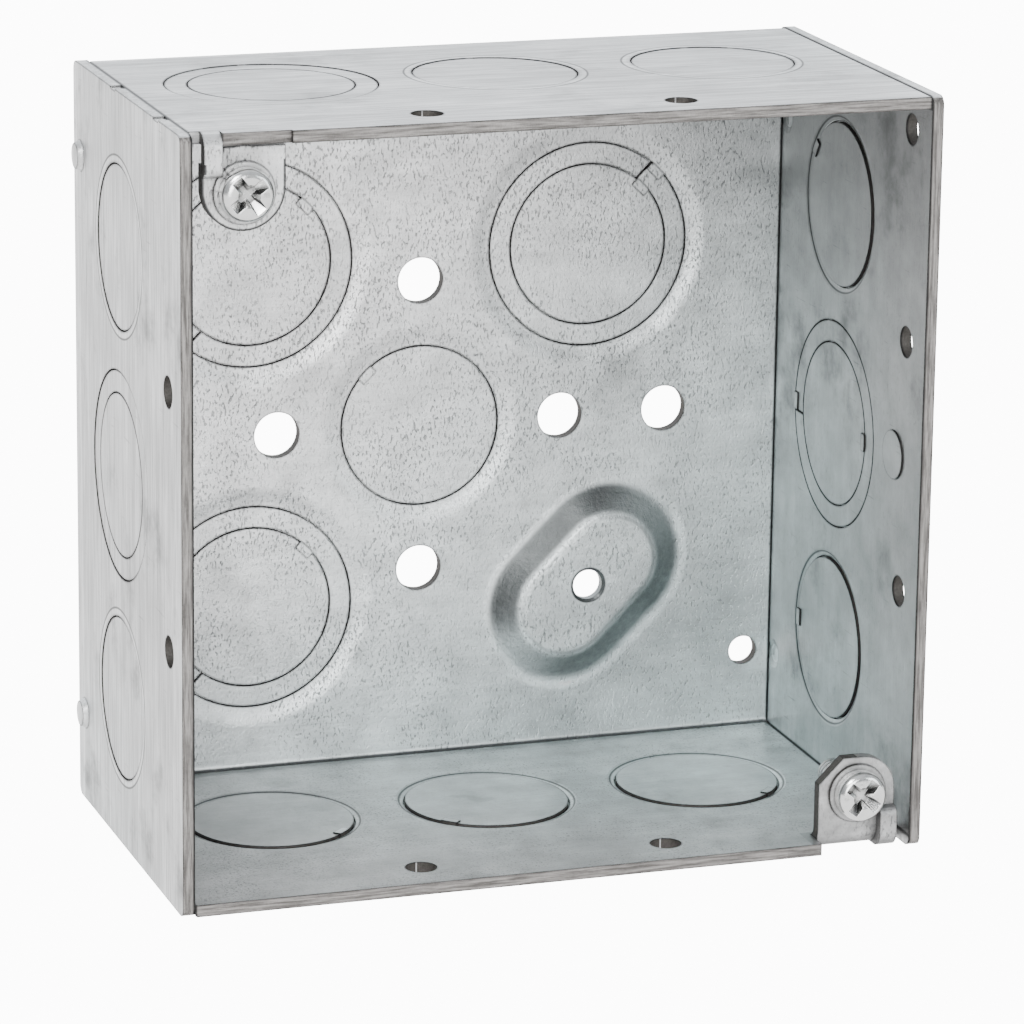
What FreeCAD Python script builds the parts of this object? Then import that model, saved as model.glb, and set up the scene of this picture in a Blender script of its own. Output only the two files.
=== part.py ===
import FreeCAD, Part
import Sketcher
import math
import os

# Welded 4 in. square steel junction box, 2-1/8 in. deep, standing with its open front towards -Y.
# The origin is the middle of the outer back face.  All sizes are in millimetres.

SIZES = {
    "side": 101.6,
    "depth": 54.0,
    "sheet": 1.6,
    "bend_outer": 2.4,
    "bend_inner": 0.8,
    "seam_round": 0.4,
    "plate_corner": 1.3,
    # knockouts: trade 1/2 slugs and trade 3/4 rings, both sheared from the sheet
    "slug_radius": 11.1,
    "ring_radius": 14.1,
    "shear_gap": 0.2,
    "slug_sink": 0.1,
    # the half sheared edge each slug and ring is pressed back onto, which closes its outline
    "seat_depth": 0.8,
    "seat_step": 0.35,
    "seat_gap": 0.08,
    "tie_width": 2.4,
    "tie_root": 2.0,
    "tie_burr": 0.2,
    "tie_burr_run": 1.2,
    "ring_groove": 0.3,
    "ring_groove_depth": 0.9,
    "coin_width": 1.0,
    "coin_depth": 0.35,
    "side_pitch": 30.4,
    "wall_row": 30.5,
    "back_pitch": 24.0,
    "back_across": -3.0,
    "back_up": -2.0,
    # small holes
    "quarter_radius": 3.175,
    "quarter_pitch": 20.3,
    "extra_offset": 35.5,
    "rim_hole_radius": 2.1,
    "rim_hole_pitch": 17.0,
    "rim_hole_row": 6.2,
    "corner_hole_across": 45.2,
    "corner_hole_up": 38.2,
    "corner_hole_radius": 2.05,
    "top_hole_up": 45.3,
    "top_hole_row": 6.5,
    # ground screw boss, an obround pressed into the box at 45 degrees
    "boss_foot_radius": 10.5,
    "boss_top_radius": 6.5,
    "boss_half_run": 4.5,
    "boss_rise": 2.6,
    "boss_foot_round": 3.0,
    "boss_top_round": 2.5,
    "ground_hole_radius": 2.1,
    "ground_chamfer": 0.35,
    # cover screw ears
    "ear_width": 10.8,
    "ear_recess": 1.6,
    "ear_reach": 4.9,
    "ear_step": 0.5,
    "ear_gap": 0.45,
    "ear_chamfer": 3.4,
    "ear_round": 4.6,
    "neck_width": 2.4,
    "neck_recess": 0.3,
    "neck_foot": 5.7,
    "neck_bend": 2.2,
    "neck_toe": 1.1,
    "neck_root": 2.0,
    "fold_bend": 3.0,
    "fold_inner": 1.4,
    "screw_inset": 8.6,
    "screw_drop": 7.8,
    "collar_radius": 4.0,
    "collar_rise": 0.45,
    "collar_wall": 0.8,
    "lap": 0.5,
    "margin": 1.0,
    "screw_hole_radius": 2.08,
    # cover screws, 8-32 pan head
    "shank_radius": 2.0,
    "shank_length": 9.5,
    "head_radius": 3.4,
    "head_height": 2.3,
    "head_round": 1.1,
    "cross_span": 5.4,
    "cross_width": 1.5,
    "cross_depth": 1.4,
    "cross_taper": 0.45,
    "cross_cup": 1.5,
    "cross_floor": 0.5,
    "cross_turn": 38.0,
    # pressed weld buttons and the half punched circle of the side plates
    "button_radius": 2.1,
    "button_rise": 0.8,
    "button_draft": 0.4,
    "button_dish": 0.4,
    "button_up": 38.5,
    "button_row": 3.4,
    "stamp_radius": 3.3,
    "stamp_rise": 0.25,
    "stamp_row": 9.3,
    "stamp_up": 1.0,
    "notch_length": 2.4,
    "notch_depth": 0.25,
    "notch_front": 10.5,
    "notch_back": 32.0,
}

X = FreeCAD.Vector(1, 0, 0)
Y = FreeCAD.Vector(0, 1, 0)
Z = FreeCAD.Vector(0, 0, 1)

QUARTER = math.pi / 2

# how near an edge has to lie to a face to be counted on it
NEAR = 0.1

INNER = "(dims.side / 2 - dims.sheet)"
# a cutting tool's length when it goes right through the sheet, and how far behind the inner face it starts
THROUGH = "(3 * dims.sheet)"
BEHIND = "(1.5 * dims.sheet)"
WALL_ROW = "(dims.wall_row - dims.depth)"

# wall: inward normal, and the middle of its inner face as (x, y, z) with one place free for "across"
WALLS = {
    "back": (-Y, lambda across, up: (across, "-dims.sheet", up)),
    "top": (-Z, lambda across, row: (across, row, INNER)),
    "bottom": (Z, lambda across, row: (across, row, "-" + INNER)),
    "left": (X, lambda across, row: ("-" + INNER, row, across)),
    "right": (-X, lambda across, row: (INNER, row, across)),
}

P = "dims.side_pitch"
BACK_X = "dims.back_across"
BACK_Z = "dims.back_up"
LEFT = BACK_X + " - dims.back_pitch"
RIGHT = BACK_X + " + dims.back_pitch"
LOW = BACK_Z + " - dims.back_pitch"
HIGH = BACK_Z + " + dims.back_pitch"
# knockout: name, wall, across, row, tie of the slug, tie of the ring round it (None: no ring)
KNOCKOUTS = [
    ("top_left", "top", "-" + P, WALL_ROW, -Y, Y),
    ("top_middle", "top", "0", WALL_ROW, X, None),
    ("top_right", "top", P, WALL_ROW, -X, None),
    ("bottom_left", "bottom", "-" + P, WALL_ROW, X - Y, None),
    ("bottom_middle", "bottom", "0", WALL_ROW, -X - Y, None),
    ("bottom_right", "bottom", P, WALL_ROW, X - Y, None),
    ("left_upper", "left", P, WALL_ROW, Y, None),
    ("left_middle", "left", "0", WALL_ROW, -Y, Y),
    ("left_lower", "left", "-" + P, WALL_ROW, Y, None),
    ("right_upper", "right", P, WALL_ROW, Y + Z * 0.7, None),
    ("right_middle", "right", "0", WALL_ROW, -Y, Y),
    ("right_lower", "right", "-" + P, WALL_ROW, Y, None),
    ("back_centre", "back", BACK_X, BACK_Z, Z - X, None),
    ("back_upper_left", "back", LEFT, HIGH, X + Z, -X - Z),
    ("back_upper_right", "back", RIGHT, HIGH, X + Z, X + Z),
    ("back_lower_left", "back", LEFT, LOW, X + Z, -X - Z),
]

doc = FreeCAD.newDocument("junction_box")
dims = doc.addObject("Spreadsheet::Sheet", "dims")
for row, (alias, value) in enumerate(SIZES.items(), start=1):
    dims.set("A%d" % row, alias)
    dims.set("B%d" % row, str(value))
    dims.setAlias("B%d" % row, alias)
doc.recompute()

nodes = []


def bind(obj, **formulas):
    """Ties properties of an object to formulas over the sheet of sizes."""
    for prop, formula in formulas.items():
        obj.setExpression(prop, formula)
    return obj


def place(obj, at, turn=None):
    """Puts an object at formulas (x, y, z), turned by a fixed rotation."""
    obj.Placement = FreeCAD.Placement(FreeCAD.Vector(), turn or FreeCAD.Rotation())
    for letter, formula in zip("xyz", at):
        obj.setExpression("Placement.Base." + letter, formula)
    return obj


def box(name, size, at):
    """A block from its low corner."""
    obj = doc.addObject("Part::Box", name)
    bind(obj, Length=size[0], Width=size[1], Height=size[2])
    return place(obj, at)


def rod(name, radius, height, at, axis=Z):
    """A cylinder from its foot along an axis."""
    obj = doc.addObject("Part::Cylinder", name)
    bind(obj, Radius=radius, Height=height)
    return place(obj, at, FreeCAD.Rotation(Z, axis))


def cone(name, low, high, height, at, axis=Z):
    """A cone frustum from its foot along an axis."""
    obj = doc.addObject("Part::Cone", name)
    bind(obj, Radius1=low, Radius2=high, Height=height)
    return place(obj, at, FreeCAD.Rotation(Z, axis))


def fuse(name, parts):
    obj = doc.addObject("Part::MultiFuse", name)
    obj.Shapes = parts
    obj.Refine = True
    return obj


def cut(name, base, tool):
    obj = doc.addObject("Part::Cut", name)
    obj.Base = base
    obj.Tool = tool
    return obj


def common(name, first, second):
    obj = doc.addObject("Part::MultiCommon", name)
    obj.Shapes = [first, second]
    return obj


def rounded(name, base, radius, wanted):
    """Rounds the straight edges of a block whose middle passes the test."""
    doc.recompute()
    obj = doc.addObject("Part::Fillet", name)
    obj.Base = base
    picked = []
    for number, edge in enumerate(base.Shape.Edges, start=1):
        if wanted(edge.CenterOfMass, edge):
            picked.append((number, SIZES[radius], SIZES[radius]))
    obj.Edges = picked
    return obj


def node(obj, label):
    obj.Label = label
    nodes.append(obj)
    return obj


def seated(tie, inward):
    """Rotation of a knockout: local X points at its tie, local Z into the box."""
    side = FreeCAD.Vector(tie).normalize()
    return FreeCAD.Rotation(side, inward.cross(side), inward, "ZXY")


def stepped(name, radius, top, at, axis, gap):
    """A disc or hole with a step: full radius by the inner face, narrower below the seat."""
    wide_foot = f"(-dims.seat_depth + {gap})"
    narrow_foot = f"(-{BEHIND})" if gap == "0" else "(dims.slug_sink - dims.sheet)"
    parts = []
    for word, size, foot in (
        ("wide", radius, wide_foot),
        ("narrow", f"{radius} - dims.seat_step", narrow_foot),
    ):
        spot = [f"{place_at} + {part} * {foot}" for place_at, part in zip(at, axis)]
        parts.append(rod(f"{name}_{word}", size, f"{top} - {foot}", spot, axis))
    return fuse(name, parts)


def knockout_piece(label, radius, hole, at, turn):
    """One sheared disc or ring with the tie that holds it, its inner face at local Z = 0."""
    centre = ("0", "0", "0")
    disc = stepped(label + "_disc", radius, "0", centre, Z, "dims.seat_gap")
    reach = radius + " + dims.shear_gap"
    tongue = box(
        label + "_tongue",
        ("dims.tie_root", "dims.tie_width", "dims.seat_depth"),
        (reach + " - dims.tie_root", "-dims.tie_width / 2", "-dims.seat_depth"),
    )
    burr = box(
        label + "_burr",
        ("dims.tie_burr_run", "dims.tie_width", "dims.seat_depth + dims.tie_burr"),
        (reach + " - dims.tie_burr_run", "-dims.tie_width / 2", "-dims.seat_depth"),
    )
    limit = rod(label + "_limit", reach, THROUGH, ("0", "0", "-" + BEHIND))
    tie = common(label + "_tie", fuse(label + "_tongue_burr", [tongue, burr]), limit)
    solid = fuse(label + "_solid", [disc, tie])
    if hole:
        bore = stepped(label + "_bore", hole, BEHIND, centre, Z, "0")
        groove = box(
            label + "_groove",
            (radius, "dims.ring_groove", "2 * dims.ring_groove_depth"),
            ("dims.tie_root", "dims.tie_width / 2", "-dims.ring_groove_depth"),
        )
        solid = cut(label + "_open", solid, fuse(label + "_cuts", [bore, groove]))
    return node(place(solid, at, turn), label)


# knockout slugs and rings, with the openings they leave in each wall
openings = {wall: [] for wall in WALLS}
for name, wall, across, row, slug_tie, ring_tie in KNOCKOUTS:
    inward, spot = WALLS[wall]
    at = spot(across, row)
    knockout_piece(name + "_slug", "dims.slug_radius", None, at, seated(slug_tie, inward))
    outer = "dims.slug_radius"
    if ring_tie:
        gap_hole = "dims.slug_radius + dims.shear_gap"
        knockout_piece(name + "_ring", "dims.ring_radius", gap_hole, at, seated(ring_tie, inward))
        outer = "dims.ring_radius"
    openings[wall].append(stepped(name + "_hole", outer + " + dims.shear_gap", BEHIND, at, inward, "0"))
    if not ring_tie and wall != "back":
        coin = cone(
            name + "_coin",
            outer + " + dims.shear_gap",
            outer + " + dims.shear_gap + dims.coin_width",
            "dims.coin_depth",
            [f"{place_at} - {sign} * dims.coin_depth" for place_at, sign in zip(at, inward)],
            inward,
        )
        openings[wall].append(coin)


def wall_hole(name, wall, radius, across, row):
    """A round hole through one wall."""
    inward, spot = WALLS[wall]
    at = [f"{place_at} - {sign} * {BEHIND}" for place_at, sign in zip(spot(across, row), inward)]
    openings[wall].append(rod(name, radius, THROUGH, at, inward))


RIM = "dims.rim_hole_radius"
RIM_ROW = "(dims.rim_hole_row - dims.depth)"
TOP_HOLE_ROW = "(dims.top_hole_row - dims.depth)"
for wall in ("top", "bottom", "left", "right"):
    for word, sign in (("a", "-"), ("b", "")):
        wall_hole(f"{wall}_rim_hole_{word}", wall, RIM, sign + "dims.rim_hole_pitch", RIM_ROW)
wall_hole("right_top_hole", "right", RIM, "dims.top_hole_up", TOP_HOLE_ROW)
for word, sign in (("low", " - "), ("high", " + ")):
    pitch = sign + "dims.quarter_pitch"
    wall_hole("back_quarter_across_" + word, "back", "dims.quarter_radius", BACK_X + pitch, BACK_Z)
    wall_hole("back_quarter_up_" + word, "back", "dims.quarter_radius", BACK_X, BACK_Z + pitch)
wall_hole("back_extra_hole", "back", "dims.quarter_radius", BACK_X + " + dims.extra_offset", BACK_Z)
CORNER = ("dims.corner_hole_radius", "dims.corner_hole_across", "-dims.corner_hole_up")
wall_hole("back_corner_hole", "back", *CORNER)


def half_block(name, inset, bend):
    """The block inside or outside the folded sheet, rounded along its two back edges."""
    block = box(
        name,
        ("dims.side - 2 * dims.sheet", "dims.depth", f"dims.side - 2 * {inset}"),
        ("dims.sheet - dims.side / 2", f"-dims.depth - {inset}", f"{inset} - dims.side / 2"),
    )
    front = -SIZES["depth"]
    return rounded(
        name + "_round",
        block,
        bend,
        lambda middle, edge: middle.y > front / 2 and abs(middle.x) < NEAR and abs(middle.z) > NEAR,
    )


# folded sheet: top, back and bottom in one strip, its seams with the side plates softly rounded
strip_outer = rounded(
    "strip_seams",
    half_block("strip_outer", "0", "bend_outer"),
    "seam_round",
    lambda middle, edge: abs(middle.x) > SIZES["depth"] / 2
    and abs(middle.z) > SIZES["side"] / 2 - NEAR
    and edge.Length > SIZES["depth"] / 2,
)
strip = cut("strip", strip_outer, half_block("strip_inner", "dims.sheet", "bend_inner"))


def obround(name, radius, at, turn):
    """A closed sketch of two half circles joined by straight sides."""
    sketch = doc.addObject("Sketcher::SketchObject", name)
    r = SIZES[radius]
    run = SIZES["boss_half_run"]
    low = FreeCAD.Vector(-run, 0, 0)
    high = FreeCAD.Vector(run, 0, 0)
    side = FreeCAD.Vector(0, r, 0)
    sketch.addGeometry(Part.LineSegment(low - side, high - side))
    sketch.addGeometry(Part.ArcOfCircle(Part.Circle(high, Z, r), -QUARTER, QUARTER))
    sketch.addGeometry(Part.LineSegment(high + side, low + side))
    sketch.addGeometry(Part.ArcOfCircle(Part.Circle(low, Z, r), QUARTER, 3 * QUARTER))
    for first in range(4):
        sketch.addConstraint(Sketcher.Constraint("Tangent", first, 2, (first + 1) % 4, 1))
    sketch.addConstraint(Sketcher.Constraint("Horizontal", 0))
    sketch.addConstraint(Sketcher.Constraint("PointOnObject", 1, 3, -1))
    bound = (
        (Sketcher.Constraint("Radius", 1, r), "dims." + radius),
        (Sketcher.Constraint("DistanceX", 3, 3, -1, 1, run), "dims.boss_half_run"),
        (Sketcher.Constraint("DistanceX", -1, 1, 1, 3, run), "dims.boss_half_run"),
    )
    for constraint, formula in bound:
        number = sketch.addConstraint(constraint)
        sketch.setExpression(f"Constraints[{number}]", formula)
    return place(sketch, at, turn)


def boss_body(name, lift):
    """The obround frustum of the ground boss, its foot set back from the inner face by a formula."""
    turn = FreeCAD.Rotation(Y, -45).multiply(FreeCAD.Rotation(X, 90))
    foot_at = (RIGHT, f"-dims.sheet + ({lift})", LOW)
    top_at = (RIGHT, f"-dims.sheet - dims.boss_rise + ({lift})", LOW)
    loft = doc.addObject("Part::Loft", name)
    loft.Sections = [
        obround(name + "_foot", "boss_foot_radius", foot_at, turn),
        obround(name + "_top", "boss_top_radius", top_at, turn),
    ]
    loft.Solid = True
    loft.Ruled = True
    return loft


boss = boss_body("boss_outside", "0")
dish = boss_body("boss_inside", "dims.sheet")
ground_hole = rod(
    "ground_hole",
    "dims.ground_hole_radius",
    "4 * dims.sheet + dims.boss_rise",
    (RIGHT, "-dims.boss_rise - 3 * dims.sheet", LOW),
    Y,
)
ground_edge = cone(
    "ground_edge",
    "dims.ground_hole_radius + dims.ground_chamfer",
    "dims.ground_hole_radius",
    "dims.ground_chamfer",
    (RIGHT, "-dims.boss_rise - dims.sheet", LOW),
    Y,
)


def turned(part, flip):
    """The same solid, turned about the depth axis."""
    link = doc.addObject("Part::Compound", part.Name + "_turned")
    link.Links = [part]
    link.Placement = FreeCAD.Placement(FreeCAD.Vector(), flip)
    return link


def folded_edge(name, left, face, foot):
    """The full width bend that carries the lower ear round from the wall it is folded out of."""
    front = -SIZES["depth"] + SIZES["ear_recess"]
    top = SIZES["side"] / 2
    block = rounded(
        name + "_fold_round",
        box(
            name + "_fold",
            ("dims.ear_width", "dims.fold_bend + 2 * dims.lap", "dims.neck_foot"),
            (left, face, foot),
        ),
        "fold_bend",
        lambda middle, edge: middle.y < front + NEAR and middle.z > top - NEAR,
    )
    room = rounded(
        name + "_fold_room_round",
        box(
            name + "_fold_room",
            ("dims.ear_width + 2 * dims.margin", "dims.depth", "dims.neck_foot"),
            (f"{left} - dims.margin", f"{face} + dims.sheet", f"{foot} - dims.sheet"),
        ),
        "fold_inner",
        lambda middle, edge: middle.y < front + SIZES["sheet"] + NEAR
        and middle.z > top - SIZES["sheet"] - NEAR,
    )
    return cut(name + "_fold_strip", block, room)


def ear(name, sign):
    """One cover ear hanging by a neck from the top (sign +1) or bottom (-1) edge.

    Returns its solid, the hole through it and the room it takes from the strip's front edge.
    """
    flip = FreeCAD.Rotation(Y, 0 if sign > 0 else 180)
    front = -SIZES["depth"]
    half = SIZES["side"] / 2
    neck_front = front + SIZES["neck_recess"] + NEAR
    across = "(dims.screw_inset - dims.side / 2)"
    level = "(dims.side / 2 - dims.screw_drop)"
    left = f"({across} - dims.ear_width / 2)"
    face = "(dims.ear_recess - dims.depth)"
    bottom = f"({level} - dims.ear_reach)"
    foot = "(dims.side / 2 - dims.neck_foot)"
    neck_face = "(dims.neck_recess - dims.depth)"

    if sign > 0:
        tip = rod(
            name + "_tip",
            "dims.ear_width / 2",
            "dims.sheet",
            (across, face, f"{bottom} + dims.ear_width / 2"),
            Y,
        )
        web_foot = f"({bottom} + dims.ear_width / 2)"
    else:
        tip = box(
            name + "_tip",
            ("dims.ear_width", "dims.sheet", f"{foot} - {bottom}"),
            (left, face, bottom),
        )
        middle_x = SIZES["screw_inset"] - half
        low_z = half - SIZES["screw_drop"] - SIZES["ear_reach"] + NEAR
        tip = rounded(
            name + "_tip_round",
            tip,
            "ear_round",
            lambda middle, edge: middle.x < middle_x
            and middle.z < low_z
            and edge.Length < 2 * SIZES["sheet"],
        )
        doc.recompute()
        corner = doc.addObject("Part::Chamfer", name + "_tip_chamfer")
        corner.Base = tip
        corner.Edges = [
            (number, SIZES["ear_chamfer"], SIZES["ear_chamfer"])
            for number, edge in enumerate(tip.Shape.Edges, start=1)
            if edge.CenterOfMass.x > middle_x
            and edge.CenterOfMass.z < low_z
            and edge.Length < 2 * SIZES["sheet"]
        ]
        tip = corner
        web_foot = foot
    web = box(
        name + "_web",
        ("dims.ear_width", "dims.sheet", f"{foot} - {web_foot} + dims.lap"),
        (left, face, f"{web_foot} - dims.lap"),
    )
    if sign > 0:
        upper = box(
            name + "_upper",
            (
                "dims.ear_width - dims.neck_width - dims.ear_gap",
                "dims.sheet",
                "dims.neck_foot - dims.sheet - dims.ear_gap + dims.lap",
            ),
            (f"{left} + dims.neck_width + dims.ear_gap", face, f"{foot} - dims.lap"),
        )
        edge_width = f"{left} + dims.ear_width + dims.ear_gap + {INNER}"
        edge_run = "dims.ear_step + dims.margin"
    else:
        upper = folded_edge(name, left, face, foot)
        edge_width = f"{left} + dims.ear_width + {INNER}"
        edge_run = "dims.ear_recess + dims.fold_bend + dims.margin"
    neck_run = "dims.ear_recess + dims.sheet - dims.neck_recess + dims.neck_root"
    neck = box(
        name + "_neck",
        ("dims.neck_width", neck_run, "dims.neck_foot"),
        (left, neck_face, foot),
    )
    neck = rounded(
        name + "_neck_bend",
        neck,
        "neck_bend",
        lambda middle, edge: middle.y < neck_front and middle.z > half - NEAR,
    )
    neck = rounded(
        name + "_neck_toe",
        neck,
        "neck_toe",
        lambda middle, edge: middle.y < neck_front
        and middle.z < half - SIZES["neck_foot"] + NEAR,
    )
    hollow = box(
        name + "_hollow",
        ("dims.neck_width + 2 * dims.margin", "dims.depth", "dims.neck_foot - 2 * dims.sheet"),
        (f"{left} - dims.margin", f"{neck_face} + dims.sheet", f"{foot} + dims.sheet"),
    )
    under = box(
        name + "_under",
        ("dims.neck_width + 2 * dims.margin", "dims.depth", "2 * dims.sheet"),
        (f"{left} - dims.margin", f"{face} + dims.sheet", f"{foot} - dims.lap"),
    )
    neck = cut(name + "_neck_strip", neck, fuse(name + "_neck_room", [hollow, under]))
    collar = rod(
        name + "_collar",
        "dims.collar_radius",
        "dims.collar_rise",
        (across, f"{face} - dims.collar_rise", level),
        Y,
    )
    sleeve = rod(
        name + "_sleeve",
        "dims.collar_radius - dims.collar_wall",
        "dims.sheet + dims.margin",
        (across, face, level),
        Y,
    )
    hole = rod(
        name + "_hole",
        "dims.screw_hole_radius",
        "2 * dims.shank_length",
        (across, face + " - dims.shank_length / 2", level),
        Y,
    )
    wall = "2 * dims.sheet"
    wall_foot = "dims.side / 2 - 1.5 * dims.sheet"
    edge_room = box(
        name + "_edge_room",
        (edge_width, edge_run, wall),
        ("-" + INNER, "-dims.depth - dims.margin", wall_foot),
    )
    neck_room = box(
        name + "_neck_gap",
        (f"{left} + dims.neck_width + {INNER}", "dims.neck_recess + dims.neck_bend + dims.margin", wall),
        ("-" + INNER, "-dims.depth - dims.margin", wall_foot),
    )
    room = fuse(name + "_room", [edge_room, neck_room])
    solid = fuse(name + "_solid", [tip, web, upper, neck, collar, sleeve])
    return [turned(part, flip) for part in (solid, hole, room)]


ear_upper, ear_upper_hole, ear_upper_room = ear("ear_upper", 1)
ear_lower, ear_lower_hole, ear_lower_room = ear("ear_lower", -1)

shell = cut("strip_notched", strip, fuse("ear_rooms", [ear_upper_room, ear_lower_room]))
shell = fuse("strip_with_ears", [shell, ear_upper, ear_lower, boss])
boss_span = SIZES["boss_foot_radius"] + SIZES["boss_half_run"]


def on_boss(depth):
    """Picks the edges of the boss that lie in one plane parallel to the back."""

    def wanted(middle, edge):
        across = middle.x - SIZES["back_across"] - SIZES["back_pitch"]
        up = middle.z - SIZES["back_up"] + SIZES["back_pitch"]
        return abs(middle.y + depth) < NEAR and math.hypot(across, up) < boss_span

    return wanted


shell = rounded("boss_foot_soft", shell, "boss_foot_round", on_boss(SIZES["sheet"]))
shell = rounded("boss_top_soft", shell, "boss_top_round", on_boss(SIZES["sheet"] + SIZES["boss_rise"]))
shell_cuts = openings["top"] + openings["bottom"] + openings["back"]
shell_cuts += [dish, ground_hole, ground_edge, ear_upper_hole, ear_lower_hole]
shell = cut("folded_shell", shell, fuse("shell_cuts", shell_cuts))
node(place(shell, ("0", "0", "0")), "folded_shell")


def side_plate(label, sign):
    """One flat side plate with its knockout openings, weld buttons and seam notches."""
    wall = "left" if sign < 0 else "right"
    low = "-dims.side / 2" if sign < 0 else INNER
    plate = box(
        label + "_blank",
        ("dims.sheet", "dims.depth", "dims.side"),
        (low, "-dims.depth", "-dims.side / 2"),
    )
    plate = rounded(
        label + "_corners",
        plate,
        "plate_corner",
        lambda middle, edge: edge.Length < 2 * SIZES["sheet"],
    )
    outward = X * sign
    added = []
    taken = list(openings[wall])
    for word, up in (("high", "dims.button_up"), ("low", "-dims.button_up")):
        face = f"{sign} * dims.side / 2"
        inner_face = f"{sign} * {INNER}"
        added.append(
            cone(
                f"{label}_button_{word}",
                "dims.button_radius",
                "dims.button_radius - dims.button_draft",
                "dims.button_rise",
                (face, "-dims.button_row", up),
                outward,
            )
        )
        taken.append(
            cone(
                f"{label}_dish_{word}",
                "dims.button_radius",
                "dims.button_radius / 2",
                "dims.button_dish",
                (inner_face, "-dims.button_row", up),
                outward,
            )
        )
    notches = (("front", "dims.notch_front"), ("back", "dims.notch_back")) if sign < 0 else ()
    for word, row in notches:
        taken.append(
            box(
                f"{label}_notch_{word}",
                ("2 * dims.sheet", "dims.notch_length", "2 * dims.notch_depth"),
                (f"{low} - dims.sheet / 2", f"{row} - dims.depth", "dims.side / 2 - dims.notch_depth"),
            )
        )
    if sign > 0:
        added.append(
            rod(
                label + "_stamp",
                "dims.stamp_radius",
                "dims.stamp_rise + dims.sheet / 2",
                (f"{INNER} + dims.sheet / 2", "dims.stamp_row - dims.depth", "dims.stamp_up"),
                -X,
            )
        )
    full = fuse(label + "_full", [plate] + added)
    return node(place(cut(label, full, fuse(label + "_cuts", taken)), ("0", "0", "0")), label)


side_plate("left_side_plate", -1)
side_plate("right_side_plate", 1)


def cover_screw(label, sign):
    """A pan head screw seated on its ear: local Z runs from the head seat towards the driver."""
    tip = ("0", "0", "-dims.shank_length")
    shank = rod(label + "_shank", "dims.shank_radius", "dims.shank_length", tip)
    head = rod(label + "_head", "dims.head_radius", "dims.head_height", ("0", "0", "0"))
    head = rounded(
        label + "_head_round",
        head,
        "head_round",
        lambda middle, edge: middle.z > SIZES["head_height"] - NEAR and edge.Closed,
    )
    top = "dims.head_height - dims.cross_depth"
    slots = []
    for word, spin in (("long", 0), ("short", 90)):
        wing = doc.addObject("Part::Wedge", f"{label}_wing_{word}")
        bind(
            wing,
            Ymin="0",
            Ymax="dims.cross_depth",
            Xmin="-dims.cross_span * dims.cross_taper / 2",
            Xmax="dims.cross_span * dims.cross_taper / 2",
            Zmin="-dims.cross_width * dims.cross_taper / 2",
            Zmax="dims.cross_width * dims.cross_taper / 2",
            X2min="-dims.cross_span / 2",
            X2max="dims.cross_span / 2",
            Z2min="-dims.cross_width / 2",
            Z2max="dims.cross_width / 2",
        )
        turn = FreeCAD.Rotation(Z, spin).multiply(FreeCAD.Rotation(X, 90))
        slots.append(place(wing, ("0", "0", top), turn))
    slots.append(
        cone(label + "_cup", "dims.cross_floor", "dims.cross_cup", "dims.cross_depth", ("0", "0", top))
    )
    body = fuse(label + "_body", [shank, head])
    screw = cut(label, body, fuse(label + "_cross", slots))
    across = f"{-sign} * (dims.side / 2 - dims.screw_inset)"
    up = f"{sign} * (dims.side / 2 - dims.screw_drop)"
    seat = "dims.ear_recess - dims.depth - dims.collar_rise"
    turn = FreeCAD.Rotation(Z, -Y).multiply(FreeCAD.Rotation(Z, SIZES["cross_turn"] * sign))
    return node(place(screw, (across, seat, up), turn), label)


cover_screw("cover_screw_upper", 1)
cover_screw("cover_screw_lower", -1)

doc.recompute()
for obj in doc.Objects:
    if "Invalid" in obj.State or "Error" in obj.State:
        raise RuntimeError(f"{obj.Name} did not build: {obj.State}")
os.makedirs("parts", exist_ok=True)
for obj in nodes:
    if obj.Shape.isNull() or not obj.Shape.isValid():
        raise RuntimeError(f"{obj.Label} has no sound shape")
    obj.Shape.exportStep(f"parts/{obj.Label}.step")
    print(obj.Label, len(obj.Shape.Solids), round(obj.Shape.Volume, 2), obj.Shape.BoundBox)
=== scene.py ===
import math

import bmesh
import bpy
from mathutils import Matrix, Vector


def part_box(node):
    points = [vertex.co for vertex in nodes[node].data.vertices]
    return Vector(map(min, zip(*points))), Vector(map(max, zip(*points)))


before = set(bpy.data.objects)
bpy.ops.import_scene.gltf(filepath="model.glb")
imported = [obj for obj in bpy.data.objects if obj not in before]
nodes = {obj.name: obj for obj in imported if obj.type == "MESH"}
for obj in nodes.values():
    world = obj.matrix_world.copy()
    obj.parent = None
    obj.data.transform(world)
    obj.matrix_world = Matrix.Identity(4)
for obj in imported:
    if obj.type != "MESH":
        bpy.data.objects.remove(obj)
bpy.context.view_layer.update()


# Blender's lengths are metres; the materials measure in millimetres from the middle of the outer back face
MM = 0.001


def middle(name):
    """Middle of a node's box at rest, in millimetres."""
    low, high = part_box(name)
    return (low + high) / 2 / MM


# the box in metres: half its height, and its front rim
shell_low, shell_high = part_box("folded_shell")
HALF = shell_high.z
FRONT = shell_low.y

# faces of the sheet in millimetres; a fold's painted shade line in its inner corner is drawn FOLD_INSET inside
# the inner faces
SHEET = 1.6
HALF_SIDE = round(HALF / MM, 3)
INNER_FACE = HALF_SIDE - SHEET
BACK_FACE = -SHEET
FRONT_FACE = round(FRONT / MM, 3)
MID_SHEET = SHEET / 2
FOLD_INSET = 0.23

# a mask reaches this far past the face it is for; the back's masks take what is behind BACK_ZONE, which leaves
# out the top of the ground boss
SKIN = 0.1
BACK_ZONE = -3.0

# a surface normal's part along an axis: below the first a face is edge on, above the second it faces along
EDGE_ON = 0.4
FACE_ON = 0.6

# the cover screws stand at the same distances from the middle, upper left and lower right
SCREW_X = middle("cover_screw_lower").x
SCREW_Z = -middle("cover_screw_lower").z
THREAD_PITCH = 0.79
SEAT_Y = -52.8
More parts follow.
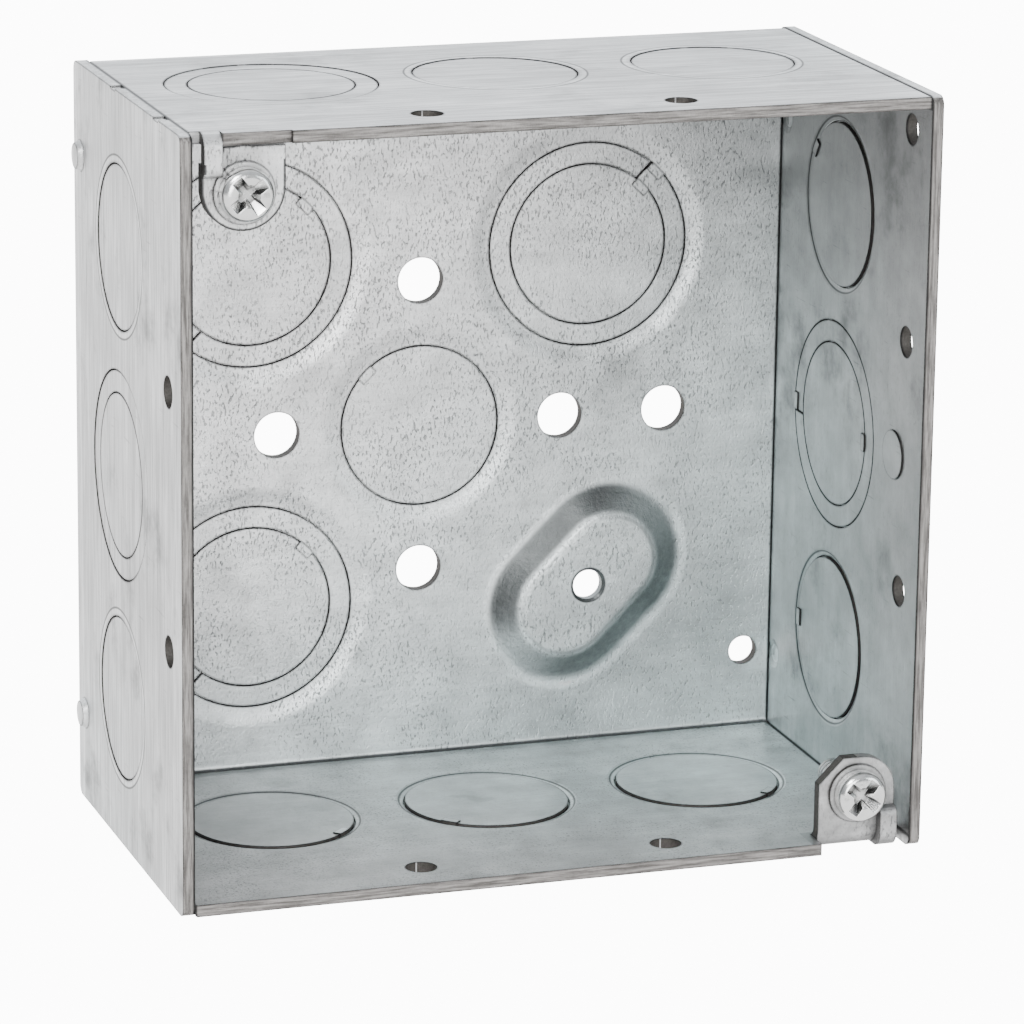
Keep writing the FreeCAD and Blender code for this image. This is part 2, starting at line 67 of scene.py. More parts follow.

# the cover ears: radius of the rounded end, how far its centre is above the upper screw's, the height where the
# painted shadow outline ends, and the distance from the middle that all of both ears is beyond
EAR_RADIUS = 5.4
EAR_RISE = 0.5
EAR_TOP = 47.0
EAR_SIDE = 36.0

# knockouts: how far outside a slug the painted shade line of its coined band is drawn, the radius that only a
# ring is beyond, and how wide and how strong the dishes drawn on the back are
BEAD = 0.85
RING_RADIUS = 12.0
DISH_RUN = 3.2
DISH_DEPTH = 14.0

# the ground boss is below the back's upper right knockout and level with its lower left one. It is a slanted
# slot: half its straight run, the distances from its spine where the painted shade of its crease and slope and
# the painted highlight of its lip are drawn and where that ends, the y that all of it is behind, and the radius
# of the dark ring round its hole
BOSS_X = middle("back_upper_right_slug").x
BOSS_Z = middle("back_lower_left_slug").z
BOSS_RUN = 4.5
BOSS_CREASE = 6.4
BOSS_SLOPE = 8.8
BOSS_FOOT = 11.7
BOSS_REACH = 14.0
BOSS_FRONT = -6.0
BOSS_HOLE = 2.3


# ---------------------------------------------------------------- materials


def rgb(r, g, b):
    return (r, g, b, 1.0)


ZINC = rgb(0.70, 0.70, 0.70)
# painted cool shade tint: a darker, bluer zinc for far inside the box
SHADE_TINT_ZINC = rgb(0.70 * 0.90, 0.70 * 0.985, 0.70 * 0.99)
SCREW_ZINC = rgb(0.86, 0.86, 0.85)
RIM_COLOURS = rgb(0.13, 0.122, 0.116), rgb(0.37, 0.352, 0.338)
# sheared edges: bare steel darkened near black as painted shade in holes and along the ears
CUT_AND_SHADE_COLOURS = rgb(0.035, 0.032, 0.03), rgb(0.16, 0.15, 0.14)
# painted shade lines along edges, gaps and corners, and dark seam joints
SHADE_AND_SEAM_DARK = rgb(0.022, 0.022, 0.022)
# painted shade in the screws' driver recesses and thread grooves
RECESS_SHADE = rgb(0.03, 0.03, 0.03)
THREAD_GROOVE_SHADE = rgb(0.05, 0.05, 0.05)


class Nodes:
    """Short names for building the node tree of a material or of the world."""

    def __init__(self, owner):
        self.owner = owner
        owner.use_nodes = True
        self.tree = owner.node_tree
        self.tree.nodes.clear()

    def new(self, kind, **props):
        node = self.tree.nodes.new(kind)
        for key, value in props.items():
            setattr(node, key, value)
        return node

    def wire(self, value, socket):
        """Links an output to a socket, or sets the socket to a plain value."""
        if isinstance(value, bpy.types.NodeSocket):
            self.tree.links.new(value, socket)
        else:
            socket.default_value = value

    def math(self, operation, a, b=0.0, c=0.0, clamp=False):
        node = self.new("ShaderNodeMath", operation=operation, use_clamp=clamp)
        for value, socket in zip((a, b, c), node.inputs):
            self.wire(value, socket)
        return node.outputs[0]

    def split(self, vector):
        node = self.new("ShaderNodeSeparateXYZ")
        self.wire(vector, node.inputs[0])
        return node.outputs[0], node.outputs[1], node.outputs[2]

    def centred(self, value):
        """A noise that runs from 0 to 1, moved to run evenly about 0."""
        return self.math("SUBTRACT", value, 0.5)

    def shade(self, value, mask, gain, level=1.0, clamp=False):
        """The value times level where the mask is 0, and times level + gain where it is 1."""
        return self.math("MULTIPLY", value, self.math("MULTIPLY_ADD", mask, gain, level, clamp=clamp))

    def ramp(self, value, low, high, out_low=0.0, out_high=1.0):
        """Smooth step from out_low at low to out_high at high."""
        node = self.new("ShaderNodeMapRange", interpolation_type="SMOOTHSTEP")
        for part, socket in zip((value, low, high, out_low, out_high), node.inputs):
            self.wire(part, socket)
        return node.outputs[0]

    def mix(self, factor, a, b):
        """Colour a where the factor is 0, b where it is 1."""
        node = self.new("ShaderNodeMix", data_type="RGBA")
        colour_inputs = [socket for socket in node.inputs if socket.type == "RGBA"]
        self.wire(factor, node.inputs["Factor"])
        for colour, socket in zip((a, b), colour_inputs):
            self.wire(colour, socket)
        return next(socket for socket in node.outputs if socket.type == "RGBA")

    def mix_value(self, factor, a, b):
        """Number a where the factor is 0, b where it is 1."""
        return self.math("ADD", a, self.math("MULTIPLY", self.math("SUBTRACT", b, a), factor))

    def scaled(self, vector, scale, turn=(0, 0, 0)):
        node = self.new("ShaderNodeMapping")
        self.wire(vector, node.inputs["Vector"])
        node.inputs["Scale"].default_value = scale
        node.inputs["Rotation"].default_value = turn
        return node.outputs[0]

    def noise(self, vector, scale, detail, rough):
        node = self.new("ShaderNodeTexNoise")
        self.wire(vector, node.inputs["Vector"])
        node.inputs["Scale"].default_value = scale
        node.inputs["Detail"].default_value = detail
        node.inputs["Roughness"].default_value = rough
        return node.outputs["Fac"]

    def spangle(self, vector, scale):
        """A grey level of its own for each soft cell."""
        node = self.new("ShaderNodeTexVoronoi", feature="SMOOTH_F1")
        self.wire(vector, node.inputs["Vector"])
        node.inputs["Scale"].default_value = scale
        level = self.new("ShaderNodeSeparateColor")
        self.wire(node.outputs["Color"], level.inputs[0])
        return level.outputs[0]

    def brightened(self, colour, value):
        node = self.new("ShaderNodeHueSaturation")
        self.wire(colour, node.inputs["Color"])
        self.wire(value, node.inputs["Value"])
        return node.outputs[0]

    def bevelled(self, radius, samples):
        """The surface normal with its edges rounded off."""
        node = self.new("ShaderNodeBevel", samples=samples)
        node.inputs["Radius"].default_value = radius
        return node.outputs[0]

    def openness(self, distance, samples):
        """1 on open surfaces, less in hollows and contacts closer than the distance."""
        node = self.new("ShaderNodeAmbientOcclusion", samples=samples)
        node.inputs["Distance"].default_value = distance
        return node.outputs["AO"]

    def bump(self, height, normal, strength, distance):
        node = self.new("ShaderNodeBump")
        node.inputs["Strength"].default_value = strength
        node.inputs["Distance"].default_value = distance
        self.wire(height, node.inputs["Height"])
        self.wire(normal, node.inputs["Normal"])
        return node.outputs[0]

    def finish(self, colour, roughness, normal):
        """Closes the tree as a metal, and gives back its material."""
        shader = self.new("ShaderNodeBsdfPrincipled")
        self.wire(colour, shader.inputs["Base Color"])
        shader.inputs["Metallic"].default_value = 1.0
        self.wire(roughness, shader.inputs["Roughness"])
        self.wire(normal, shader.inputs["Normal"])
        self.wire(shader.outputs[0], self.new("ShaderNodeOutputMaterial").inputs["Surface"])
        return self.owner


def knockout_places():
    """Wall, centre and outer radius in millimetres of each opening; the centre runs along its wall."""
    found = []
    for name in nodes:
        if not name.endswith("_slug"):
            continue
        ring = name.replace("_slug", "_ring")
        outer = ring if ring in nodes else name
        low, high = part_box(outer)
        centre = middle(outer)
        wall = name.split("_")[0]
        side = wall in ("left", "right")
        place = (centre.z if side else centre.x, centre.z if wall == "back" else centre.y)
        radius = (high.z - low.z if side else high.x - low.x) / 2 / MM
        found.append((wall, place, radius))
    return found


KNOCKOUTS = knockout_places()


class Sheet(Nodes):
    """Masks over the sheet metal, worked out from object space in millimetres."""

    def __init__(self, name):
        super().__init__(bpy.data.materials.new(name))
        coord = self.new("ShaderNodeTexCoord")
        self.mm = self.scaled(coord.outputs["Object"], (1 / MM, 1 / MM, 1 / MM))
        self.x, self.y, self.z = self.split(self.mm)
        self.ax, self.az = (self.math("ABSOLUTE", part) for part in (self.x, self.z))
        normal = self.split(coord.outputs["Normal"])
        self.nx, self.ny, self.nz = (self.math("ABSOLUTE", part) for part in normal)

    def both(self, *masks):
        value = masks[0]
        for mask in masks[1:]:
            value = self.math("MULTIPLY", value, mask)
        return value

    def either(self, *masks):
        value = masks[0]
        for mask in masks[1:]:
            value = self.math("MAXIMUM", value, mask)
        return value

    def above(self, value, limit):
        return self.math("GREATER_THAN", value, limit)

    def below(self, value, limit):
        return self.math("LESS_THAN", value, limit)

    def near(self, value, centre, inner, outer):
        """1 within inner of the centre, fading to 0 at outer."""
        away = self.math("ABSOLUTE", self.math("SUBTRACT", value, centre))
        return self.ramp(away, inner, outer, 1.0, 0.0)

    def distance(self, first, first_at, second, second_at):
        a = self.math("SUBTRACT", first, first_at)
        b = self.math("SUBTRACT", second, second_at)
        return self.math("SQRT", self.math("ADD", self.math("MULTIPLY", a, a), self.math("MULTIPLY", b, b)))

    def inside(self):
        """1 on the faces that look into the box, 0 on its outside and its front rim."""
        limit = HALF_SIDE - MID_SHEET
        within = self.both(self.below(self.ax, limit), self.below(self.az, limit))
        return self.both(within, self.below(self.y, -MID_SHEET), self.above(self.y, FRONT_FACE + SKIN))

    def ears(self, front, side):
        """1 round the two cover ears, upper left and lower right, in front of one y and outboard of one x."""
        diagonal = self.below(self.math("MULTIPLY", self.x, self.z), 0.0)
        under_wall = self.below(self.az, HALF_SIDE - 0.2)
        return self.both(diagonal, self.below(self.y, front), self.above(self.ax, side), under_wall)

    def fold_edges(self):
        """Front rims and other sheared edges of the folded shell, as two masks."""
        in_walls = self.both(self.above(self.az, INNER_FACE - SKIN), self.below(self.y, BACK_ZONE))
        rim = self.both(in_walls, self.above(self.ny, 0.985), self.below(self.y, FRONT_FACE + 0.7))

        wall_holes = self.both(in_walls, self.below(self.nz, EDGE_ON), self.below(self.ny, 0.999))
        wall_holes = self.both(wall_holes, self.below(self.ax, EAR_SIDE))
        in_back = self.both(self.above(self.y, BACK_FACE - 0.05), self.below(self.az, 48.0))
        back_holes = self.both(in_back, self.below(self.ny, EDGE_ON))

        ears = self.both(self.below(self.y, -48.5), self.above(self.ax, EAR_SIDE))
        ear_end = self.both(self.below(self.ny, EDGE_ON), self.below(self.az, 45.1))
        ear_rims = self.either(ear_end, self.above(self.nx, FACE_ON))
        lower_tab = self.both(self.below(self.z, 0.0), self.above(self.x, SCREW_X))
        softer = self.math("MULTIPLY_ADD", lower_tab, -0.5, 1.0)
        return rim, self.either(wall_holes, back_holes, self.both(ears, ear_rims, softer))

    def flat_edges(self, sheet_axis):
        """The same two masks for a flat piece, whose sheet is thin along the axis."""
        along = {"X": self.nx, "Y": self.ny, "Z": self.nz}[sheet_axis]
        sides = self.below(along, EDGE_ON)
        if sheet_axis == "Y":
            return 0.0, sides
        rim = self.both(sides, self.above(self.ny, FACE_ON), self.below(self.y, FRONT_FACE + 1.0))
        if sheet_axis == "X":
            inboard = self.both(self.below(self.az, HALF_SIDE - 0.5), self.above(self.y, FRONT_FACE + 0.4))
            sides = self.both(sides, inboard, self.below(self.y, -0.4))
        return rim, sides

    def cut_edges(self, sheet_axis):
        """Front rims, and every other sheared edge, as two masks that don't overlap."""
        rim, sides = self.fold_edges() if sheet_axis == "fold" else self.flat_edges(sheet_axis)
        return rim, self.both(sides, self.math("SUBTRACT", 1.0, rim))

    def walls(self, sheet_axis):
        """For each wall with knockouts that this sheet makes, a mask that tells it from the others."""
        if sheet_axis == "fold":
            return {
                "back": self.above(self.y, BACK_ZONE),
                "top": self.above(self.z, INNER_FACE - SKIN),
                "bottom": self.below(self.z, SKIN - INNER_FACE),
            }
        if sheet_axis == "X":
            return {"left": self.below(self.x, 0.0), "right": self.above(self.x, 0.0)}
        return {}

    def knockouts(self, sheet_axis):
        """Painted shade line and painted crest highlight of each plain wall knockout's coined band, and the
        dish round each back knockout.
        """
        beads = 0.0
        crests = 0.0
        dished = 0.0
        walls = self.walls(sheet_axis)
        for wall, centre, radius in KNOCKOUTS:
            if wall not in walls:
                continue
            along = self.z if wall in ("left", "right") else self.x
            other = self.z if wall == "back" else self.y
            away = self.distance(along, centre[0], other, centre[1])
            if wall == "back":
                dish = self.math("SUBTRACT", self.ramp(away, radius, radius + DISH_RUN), 1.0)
                dished = self.math("ADD", dished, self.both(dish, walls[wall]))
            elif radius < RING_RADIUS:
                bead = self.near(away, radius + BEAD, 0.05, 0.22)
                crest = self.near(away, radius + BEAD / 2, 0.10, BEAD / 2)
                beads = self.either(beads, self.both(bead, walls[wall], 0.8))
                crests = self.either(crests, self.both(crest, walls[wall]))
        return beads, crests, dished

    def boss(self):
        """Painted shade on the ground boss's slopes and crease, a dark ring round its hole, less a painted
        highlight on the lip at its foot.
        """
        x = self.math("SUBTRACT", self.x, BOSS_X)
        z = self.math("SUBTRACT", self.z, BOSS_Z)
        slant = math.sqrt(0.5)
        along = self.math("MULTIPLY", self.math("ADD", x, z), slant)
        across = self.math("MULTIPLY", self.math("SUBTRACT", x, z), slant)
        over = self.math("MAXIMUM", self.math("SUBTRACT", self.math("ABSOLUTE", along), BOSS_RUN), 0.0)
        away = self.distance(over, 0.0, across, 0.0)
        here = self.both(self.above(self.y, BOSS_FRONT), self.below(away, BOSS_REACH))

        # painted shade on the slopes, darkest across the upper left side
        upper_left = self.ramp(across, -8.0, 0.0, 1.0, 0.42)
        lower_right = self.ramp(across, 1.0, 8.0, 0.42, 0.60)
        bands = self.math("MULTIPLY", self.either(upper_left, lower_right), 0.86)
        rough_side = self.ramp(across, 0.0, 5.0)
        speckle = self.math("MULTIPLY_ADD", self.noise(self.mm, 1.3, 4, 0.7), 0.9, 0.58)
        mottled = self.mix_value(rough_side, 0.97, speckle)
        slope = self.both(self.near(away, BOSS_SLOPE, 1.2, 2.4), bands, mottled)

        # painted shade line along the crease
        crease = self.near(away, BOSS_CREASE, 0.05, 0.45)
        hole_ring = self.near(self.distance(x, 0.0, z, 0.0), BOSS_HOLE, 0.1, 0.4)
        creases = self.either(self.math("MULTIPLY", crease, 0.3), self.math("MULTIPLY", hole_ring, 0.8))
        dark = self.both(self.either(slope, creases), here)
        # painted highlight on the lip beyond the lower right foot
        lip = self.both(self.near(away, BOSS_FOOT, 0.2, 1.0), rough_side, here, 0.40)
        return self.math("SUBTRACT", dark, lip)

    def ear_shadow_outline(self):
        """Painted shadow line along the edge of the upper cover ear's flat face: a half circle with straight
        sides.
        """
        under = self.math("MINIMUM", self.math("SUBTRACT", self.z, SCREW_Z + EAR_RISE), 0.0)
        away = self.distance(self.ax, SCREW_X, under, 0.0)
        flat = self.both(self.above(self.ny, 0.9), self.above(self.z, 0.0), self.below(self.z, EAR_TOP))
        return self.both(self.ramp(away, EAR_RADIUS - 0.42, EAR_RADIUS - 0.18), flat, 0.9)

    def joints_and_corner_shade(self, sheet_axis):
        """Dark joint lines where the side plates meet the fold, and painted shade lines in the inner corners of
        the box.
        """
        at_plate = self.near(self.ax, INNER_FACE, 0.12, 0.42)
        if sheet_axis == "fold":
            # painted shade line in the fold's inner corners
            corner_z = self.near(self.az, INNER_FACE - FOLD_INSET, 0.1, 0.42)
            corner_y = self.near(self.y, BACK_FACE - FOLD_INSET, 0.1, 0.42)
            return self.either(at_plate, self.both(corner_z, corner_y))
        if sheet_axis == "X":
            # painted shade lines in the inner corners, on the plate's inner face
            inner = self.both(self.above(self.nx, FACE_ON), self.below(self.ax, INNER_FACE + SKIN))
            along_z = self.near(self.az, INNER_FACE, 0.1, 0.4)
            along_y = self.near(self.y, BACK_FACE, 0.1, 0.4)
            corners = self.both(inner, self.either(along_z, along_y))
            return self.either(corners, self.both(at_plate, self.below(self.nx, EDGE_ON)))
        return 0.0


class Galvanised(Sheet):
    """Dull zinc coated sheet: rolled grain, faint spangle, fine pits, handling smudges and bare cut edges.

    The sheet is thin along sheet_axis, or is the folded shell; pits and smudges say how strong those are.
    """

    def __init__(self, name, sheet_axis, grain_axis, pits, smudges=0.5):
        super().__init__(name)
        self.sheet_axis = sheet_axis
        self.folded = sheet_axis == "fold"
        self.pits = pits
        self.smudges = smudges

        stretch = [1.0, 1.0, 1.0]
        stretch["XYZ".index(grain_axis)] = 0.05
        self.grain_space = self.scaled(self.mm, stretch)
        self.grain = self.noise(self.grain_space, 2.2, 5, 0.7)
        self.cloud = self.noise(self.mm, 0.035, 4, 0.55)
        self.mottle = self.noise(self.mm, 2.6, 5, 0.75)

        self.interior = self.inside()
        self.calm = self.math("MULTIPLY_ADD", self.interior, -0.78, 1.0)
        self.boss_shade = self.boss() if self.folded else 0.0
        self.beads, self.crests, self.dished = self.knockouts(sheet_axis)
        self.rim, self.sides = self.cut_edges(sheet_axis)
        self.edge = self.either(self.rim, self.sides)
        self.pit = self.pitting()
        self.rounded = self.bevelled(0.36 * MM, samples=4)

    def pitting(self):
        """Fine slanted pits in patches, strongest inside the box and kept off the boss's bands."""
        slanted = self.scaled(self.mm, (1.0, 1.0, 0.42), (0, math.radians(32), 0))
        pit = self.ramp(self.noise(slanted, 3.2, 3, 0.65), 0.535, 0.66)
        strongest = self.math("MULTIPLY_ADD", self.interior, 0.75, 0.25)
        patchy = self.ramp(self.noise(self.mm, 0.09, 3, 0.6), 0.36, 0.58, 0.35, 1.0)
        off_boss = self.math("SUBTRACT", 1.0, self.math("MULTIPLY", self.boss_shade, 1.6), clamp=True)
        return self.both(pit, strongest, patchy, off_boss)

    def scratches(self):
        slanted = self.scaled(self.mm, (0.05, 0.05, 1.0), (math.radians(14), math.radians(9), 0))
        return self.ramp(self.noise(slanted, 3.2, 2, 0.5), 0.69, 0.76)

    def zinc_value(self):
        """Brightness of the zinc: each layer is a mask, its gain, and the level where the mask is 0."""
        streak = self.noise(self.grain_space, 0.55, 3, 0.6)
        smudge = self.ramp(self.noise(self.mm, 0.06, 6, 0.65), 0.52, 0.72)
        blotch = self.noise(self.mm, 0.22, 4, 0.6)
        layers = (
            (self.both(self.centred(self.grain), self.calm), 1.25, 1.0),
            (self.both(self.centred(streak), self.calm), 0.9, 1.0),
            (self.spangle(self.mm, 0.16), 0.14, 0.93),
            (self.cloud, 0.62, 0.69),
            (smudge, -0.60 * self.smudges, 1.0),
            (self.pit, -0.58 * self.pits, 1.0),
            (self.scratches(), -0.30 * self.smudges, 1.0),
            # painted highlight on the crest of each knockout's coined band
            (self.crests, 0.22, 1.0),
            (self.both(self.centred(blotch), self.interior), 0.70, 1.0),
        )
        value = 1.0
        for mask, gain, level in layers:
            value = self.shade(value, mask, gain, level)
        return value

    def painted_wall_light(self, value):
        """Painted shade in the upper right corner inside and on the right and bottom walls, and painted light
        on the back towards the left.
        """
        right = self.both(self.above(self.x, 48.0), self.below(self.x, 49.5), self.above(self.nx, 0.5))
        bottom = self.both(self.below(self.z, -49.0), self.above(self.z, -49.5), self.above(self.nz, 0.5))
        back = self.above(self.y, BACK_ZONE)
        facing_in = self.either(self.both(back, self.below(self.az, 49.0)), right)

        # painted shade, growing towards the upper right corner inside, mottled by the cloud
        corner = self.ramp(self.math("ADD", self.x, self.z), 38.0, 96.0)
        corner_shade = self.both(corner, facing_in, self.math("MULTIPLY_ADD", self.cloud, 1.2, 0.4))
        value = self.shade(value, corner_shade, -0.46, clamp=True)
        # painted shade on the right and bottom walls inside, then painted light on the back towards the left
        fading_right = self.ramp(self.x, -50.0, 20.0, 1.3, 0.0)
        value = self.shade(value, self.either(right, self.both(bottom, fading_right)), -0.32)
        return self.shade(value, self.both(back, self.ramp(self.x, -30.0, 35.0, 0.17, 0.02)), 1.0)

    def shell_shade(self, value):
        """The folded shell's painted shade: on the boss, and with mottled streaks over the lower ear."""
        value = self.math("MULTIPLY", value, self.math("SUBTRACT", 1.0, self.boss_shade))
        # painted shade, with mottled streaks, on the lower ear
        lower_ear = self.both(self.ears(-49.0, 35.5), self.below(self.z, 0.0))
        streaked_shade = self.math("MULTIPLY_ADD", self.noise(self.mm, 0.35, 4, 0.65), 1.1, 0.22)
        return self.mix_value(lower_ear, value, self.both(value, streaked_shade, 0.88))

    def zinc_colour(self, value):
        """Zinc of one brightness, with a painted cool shade tint far inside the box towards its lower right
        corner.
        """
        lower_right = self.ramp(self.math("SUBTRACT", self.x, self.z), -40.0, 70.0)
        # painted shade: cooler, darker zinc far inside the box towards its lower right
        cool_shade = self.both(self.ramp(self.y, FRONT_FACE, -20.0), lower_right)
        return self.brightened(self.mix(cool_shade, ZINC, SHADE_TINT_ZINC), value)

    def with_cut_edges(self, colour):
        """The colour with bare, mottled steel on the front rims, and near black on the other sheared edges:
        bare steel with painted shade in holes and along the ears.
        """
        shear = self.ramp(self.noise(self.grain_space, 3.0, 4, 0.65), 0.34, 0.66)
        shear = self.math("MULTIPLY_ADD", self.centred(self.mottle), 0.5, shear)
        colour = self.mix(self.rim, colour, self.mix(shear, *RIM_COLOURS))
        # near black sheared edges: bare steel, with painted shade in holes and along the ears
        return self.mix(self.sides, colour, self.mix(self.mottle, *CUT_AND_SHADE_COLOURS))

    def shade_and_seam_lines(self):
        """Painted shade along edges, beads, inner corners, the ear's outline and where the ears touch, and dark
        joints at the seams.
        """
        turn = self.new("ShaderNodeVectorMath", operation="DOT_PRODUCT")
        self.wire(self.rounded, turn.inputs[0])
        self.wire(self.new("ShaderNodeNewGeometry").outputs["Normal"], turn.inputs[1])
        # painted shade lines along sheared and folded edges and the gaps round the knockouts
        line = self.ramp(turn.outputs["Value"], 0.90, 0.998, 0.97, 0.0)
        if self.folded:
            at_ears = self.ears(-45.0, 32.0)
            line = self.either(line, self.both(self.ear_shadow_outline(), at_ears))
        line = self.either(line, self.math("MULTIPLY", self.joints_and_corner_shade(self.sheet_axis), 0.9), self.beads)
        line = self.math("MULTIPLY", line, self.ramp(self.mottle, 0.15, 0.45, 0.65, 1.0))
        if self.folded:
            # painted shade where the ears touch the shell
            contact_shade = self.ramp(self.openness(2.6 * MM, samples=4), 0.35, 0.95, 0.55, 0.0)
            line = self.either(line, self.both(contact_shade, at_ears))
        return line

    def roughness(self):
        level = self.math("MULTIPLY_ADD", self.cloud, 0.12, 0.28)
        level = self.math("ADD", level, self.math("MULTIPLY", self.grain, 0.10))
        return self.math("ADD", level, self.math("MULTIPLY", self.edge, 0.2), clamp=True)

    def relief(self):
        """Height of the bump: each layer is a mask and how far it lifts."""
        peel = self.noise(self.mm, 1.9, 3, 0.6)
        layers = (
            (self.both(self.grain, self.calm), 0.45),
            (self.dished, DISH_DEPTH),
            (peel, 2.0 * self.pits),
            (self.pit, -2.0 * self.pits),
            (self.both(self.edge, self.mottle), 1.2),
        )
        height = 0.0
        for mask, lift in layers:
            height = self.math("ADD", height, self.math("MULTIPLY", mask, lift))
        return height

    def build(self):
        # the zinc, with painted shade and light on the walls, and on the shell the painted shade of the boss
        # and lower ear
        value = self.painted_wall_light(self.zinc_value())
        if self.folded:
            value = self.shell_shade(value)
        colour = self.with_cut_edges(self.zinc_colour(value))
        # painted shade lines and dark seam joints over the colour
        colour = self.mix(self.shade_and_seam_lines(), colour, SHADE_AND_SEAM_DARK)
        normal = self.bump(self.relief(), self.rounded, strength=0.7, distance=0.05 * MM)
        return self.finish(colour, self.roughness(), normal)


def screw_zinc():
    """Bright zinc plate: tumbling marks, painted shade in the driver recess, and a rolled thread below the head
    with painted shade in its groove.
    """
    n = Sheet("screw_zinc")
    tumble = n.noise(n.mm, 1.8, 4, 0.6)
    stain = n.ramp(n.noise(n.mm, 0.7, 3, 0.6), 0.5, 0.75)
    value = n.shade(n.math("MULTIPLY_ADD", tumble, 0.35, 0.80), stain, -0.3)
    # painted shade in the driver recess
    recess_shade = n.ramp(n.openness(1.6 * MM, samples=6), 0.35, 0.95, 0.93, 0.0)
    colour = n.mix(recess_shade, n.brightened(SCREW_ZINC, value), RECESS_SHADE)

    # the thread winds round each screw's axis, and only below its head
    across = n.math("SUBTRACT", n.ax, SCREW_X)
    up = n.math("SUBTRACT", n.az, SCREW_Z)
    spin = n.math("DIVIDE", n.math("ARCTAN2", up, across), 2 * math.pi)
    crest = n.math("PINGPONG", n.math("ADD", n.math("DIVIDE", n.y, THREAD_PITCH), spin), 0.5)
    below_head = n.above(n.y, SEAT_Y)
    # painted shade in the thread's groove
    groove = n.both(n.ramp(crest, 0.0, 0.3, 0.7, 0.0), below_head)
    colour = n.mix(groove, colour, THREAD_GROOVE_SHADE)

    height = n.math("ADD", n.both(crest, below_head), n.math("MULTIPLY", tumble, 0.05))
    normal = n.bump(height, n.bevelled(0.15 * MM, samples=6), strength=0.8, distance=0.35 * MM)
    return n.finish(colour, n.math("MULTIPLY_ADD", tumble, 0.14, 0.13), normal)


def paint(name, material):
    """Gives a CAD node one material, in all its slots."""
    piece = nodes[name]
    if not piece.material_slots:
        piece.data.materials.append(material)
    for slot in piece.material_slots:
        slot.material = material


# how strong the pits and the smudges are: the shell and the back are more pitted, the side walls more handled
PITTED = 0.9
SMOOTH = 0.3
HANDLED = 1.0

shell_steel = Galvanised("shell_steel", "fold", "X", PITTED).build()
plate_steel = Galvanised("plate_steel", "X", "Z", SMOOTH, HANDLED).build()
back_slug_steel = Galvanised("back_slug_steel", "Y", "X", PITTED).build()
top_slug_steel = Galvanised("top_slug_steel", "Z", "X", SMOOTH).build()
side_slug_steel = Galvanised("side_slug_steel", "X", "Z", SMOOTH, HANDLED).build()
screw_steel = screw_zinc()

knockout_steel = {
    "back": back_slug_steel,
    "top": top_slug_steel,
    "bottom": top_slug_steel,
    "left": side_slug_steel,
    "right": side_slug_steel,
}

paint("folded_shell", shell_steel)
paint("left_side_plate", plate_steel)
paint("right_side_plate", plate_steel)
for name in nodes:
    if name.endswith(("_slug", "_ring")):
        paint(name, knockout_steel[name.split("_")[0]])
    elif name.startswith("cover_screw"):
        paint(name, screw_steel)

# ---------------------------------------------------------------- studio

# brightness of the stage as the camera sees it, and of the floor as the object sees it
PAPER_WHITE = 12.0
FLOOR_GLOW = 1.75
FLOOR_SIDE = 6.0
FLOOR_DROP = 0.3 * MM
# the painted contact shadow on the floor stops this far inside the box's sides
SHADOW_INSET = 8.0 * MM


def floor_white_and_shadow():
    """A glow that lights the object softly, seen as paper white, with a painted contact shadow right under the
    box.
    """
    n = Nodes(bpy.data.materials.new("floor_white_and_shadow"))
    glow = n.new("ShaderNodeEmission")
    glow.inputs["Color"].default_value = rgb(1, 1, 1)
    direct = n.new("ShaderNodeLightPath").outputs["Is Camera Ray"]
    level = n.math("MULTIPLY_ADD", direct, PAPER_WHITE - FLOOR_GLOW, FLOOR_GLOW)
    x, y, _ = n.split(n.new("ShaderNodeNewGeometry").outputs["Position"])
    # painted contact shadow: the floor under the box, less the inset, hardly glows
    across = n.math("LESS_THAN", n.math("ABSOLUTE", x), HALF - SHADOW_INSET)
    from_middle = n.math("ABSOLUTE", n.math("SUBTRACT", y, FRONT / 2))
    under = n.math("MULTIPLY", across, n.math("LESS_THAN", from_middle, -FRONT / 2 - SHADOW_INSET))
    n.wire(n.shade(level, under, -0.98), glow.inputs["Strength"])
    n.wire(glow.outputs[0], n.new("ShaderNodeOutputMaterial").inputs["Surface"])
    return n.owner


def on_stage(name, data, at, turn=(0, 0, 0)):
    """Adds a stage object at a place in metres."""
    obj = bpy.data.objects.new(name, data)
    bpy.context.scene.collection.objects.link(obj)
    obj.location = at
    obj.rotation_euler = turn


def floor():
    mesh = bpy.data.meshes.new("studio_floor")
    sheet = bmesh.new()
    bmesh.ops.create_grid(sheet, x_segments=1, y_segments=1, size=FLOOR_SIDE / 2)
    sheet.to_mesh(mesh)
    sheet.free()
    mesh.materials.append(floor_white_and_shadow())
    on_stage("studio_floor", mesh, (0, 0, shell_low.z - FLOOR_DROP))


def soft_light(name, size, at, power, colour=(1, 1, 1)):
    """A soft box that points at the origin. The size is in metres and the power in watts."""
    light = bpy.data.lights.new(name, "AREA")
    light.shape = "RECTANGLE"
    light.size, light.size_y = size
    light.energy = power
    light.color = colour
    on_stage(name, light, at, (-Vector(at)).to_track_quat("-Z", "Y").to_euler())


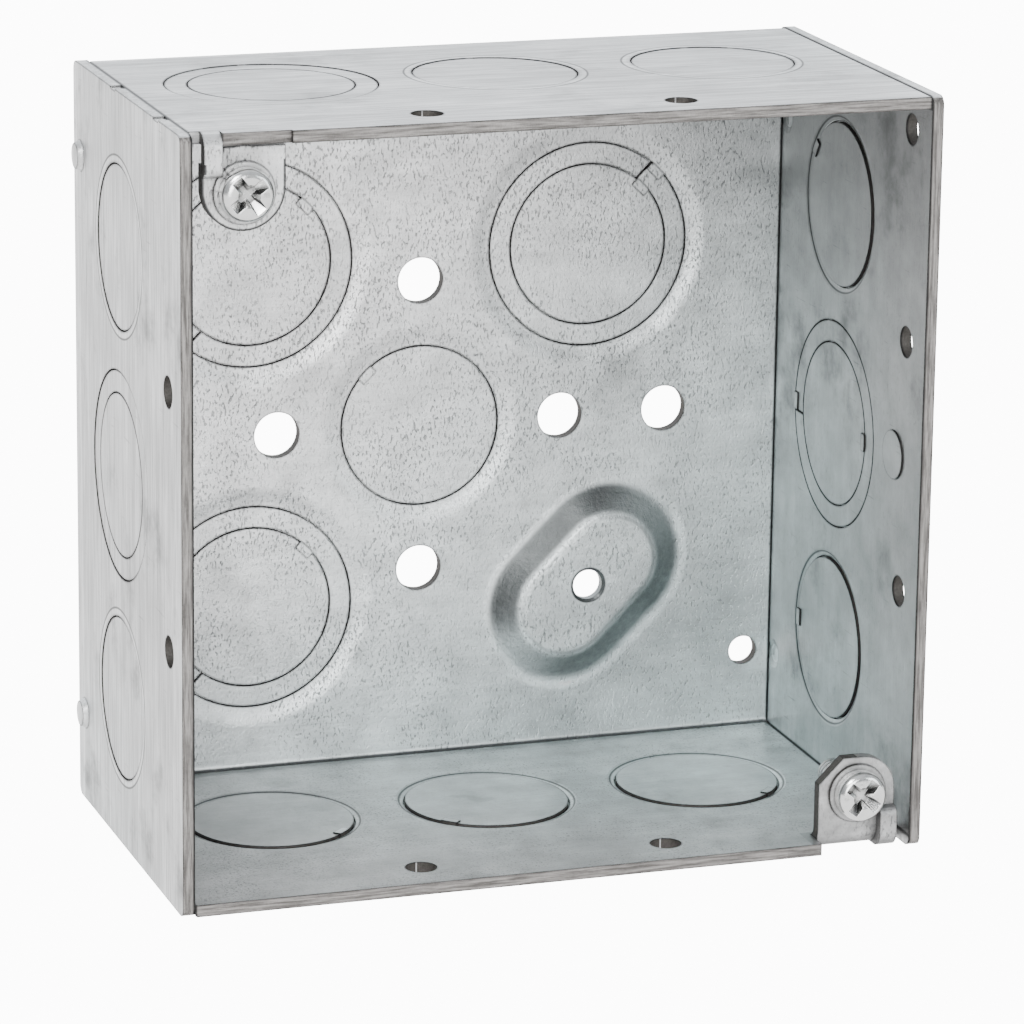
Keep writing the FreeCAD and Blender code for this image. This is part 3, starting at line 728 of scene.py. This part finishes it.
def room():
    """The world: a bright sweep behind and above, dimmer in front, seen as paper white."""
    world = bpy.data.worlds.new("studio")
    bpy.context.scene.world = world
    n = Nodes(world)
    _, y, z = n.split(n.new("ShaderNodeTexCoord").outputs["Generated"])
    behind = n.ramp(y, -0.2, 0.8, 0.45, 1.5)
    overhead = n.ramp(z, 0.0, 0.9, 1.0, 1.7)
    dim = n.new("ShaderNodeBackground")
    dim.inputs["Color"].default_value = rgb(0.93, 0.965, 1.0)
    n.wire(n.math("MULTIPLY", behind, overhead), dim.inputs["Strength"])
    white = n.new("ShaderNodeBackground")
    white.inputs["Strength"].default_value = PAPER_WHITE
    pick = n.new("ShaderNodeMixShader")
    seen = n.new("ShaderNodeLightPath").outputs["Is Camera Ray"]
    for value, socket in zip((seen, dim.outputs[0], white.outputs[0]), pick.inputs):
        n.wire(value, socket)
    n.wire(pick.outputs[0], n.new("ShaderNodeOutputWorld").inputs["Surface"])


floor()
soft_light("key_light", (0.5, 0.4), (-0.55, -0.65, 0.85), 10.0)
soft_light("front_light", (0.7, 0.7), (-0.25, -1.10, 0.25), 10.0)
soft_light("fill_light", (0.6, 0.6), (0.85, -0.85, 0.30), 4.5, (0.92, 0.99, 1.0))
room()

# ---------------------------------------------------------------- camera

AZIMUTH = math.radians(18.69)
ELEVATION = math.radians(15.30)
ROLL = math.radians(0.72)
DISTANCE = 0.7077
AIM_OFFSET = Vector((1.1, -2.5, -7.3)) * MM
SENSOR_WIDTH = 36.0
LENS = 187.5
CLIP = 0.05, 20.0


def camera():
    """Looks from the front left and above at the middle of the box, moved by the aim offset."""
    data = bpy.data.cameras.new("camera")
    data.sensor_width = SENSOR_WIDTH
    data.lens = LENS
    data.clip_start, data.clip_end = CLIP
    obj = bpy.data.objects.new("camera", data)
    bpy.context.scene.collection.objects.link(obj)

    level = math.cos(ELEVATION)
    view = Vector((math.sin(AZIMUTH) * level, math.cos(AZIMUTH) * level, -math.sin(ELEVATION)))
    aim = Vector((0.0, FRONT / 2, 0.0)) + AIM_OFFSET
    obj.location = aim - view * DISTANCE
    upright = view.to_track_quat("-Z", "Y").to_matrix()
    obj.rotation_euler = (upright @ Matrix.Rotation(ROLL, 3, "Z")).to_euler()
    bpy.context.scene.camera = obj


camera()
